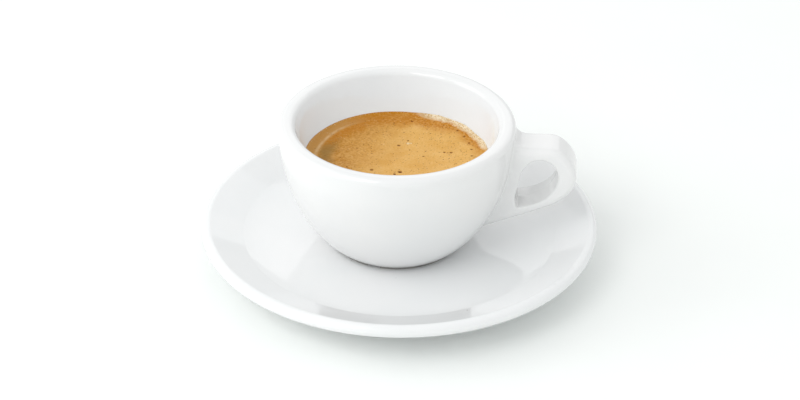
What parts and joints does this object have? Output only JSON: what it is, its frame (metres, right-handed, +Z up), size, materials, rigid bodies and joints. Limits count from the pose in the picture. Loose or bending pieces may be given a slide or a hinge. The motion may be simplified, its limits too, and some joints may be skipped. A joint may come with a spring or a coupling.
{
  "type": "espresso shot in a cup on a saucer",
  "caption": "Espresso with crema in a thick-walled round porcelain cup with an ear handle, standing on a shallow dished saucer.",
  "frame": {"origin": "on the surface it stands on, under the middle of the saucer's foot ring", "axes": "+Z up out of the cup, +X towards the tip of the cup's handle"},
  "size_m": [0.12, 0.12, 0.0485],
  "materials": {
    "saucer_glaze": "smooth clear glaze over white porcelain",
    "cup_glaze": "smooth clear glaze over white porcelain, bare matt ring under the foot",
    "coffee": "dark clear liquid with a wet surface",
    "crema": "fine golden-brown foam, soft wet sheen, with small burst bubbles"
  },
  "bodies": {
    "root": {"saucer": "saucer_glaze", "cup": "cup_glaze", "coffee": "coffee", "crema": "crema"}
  },
  "joints": []
}
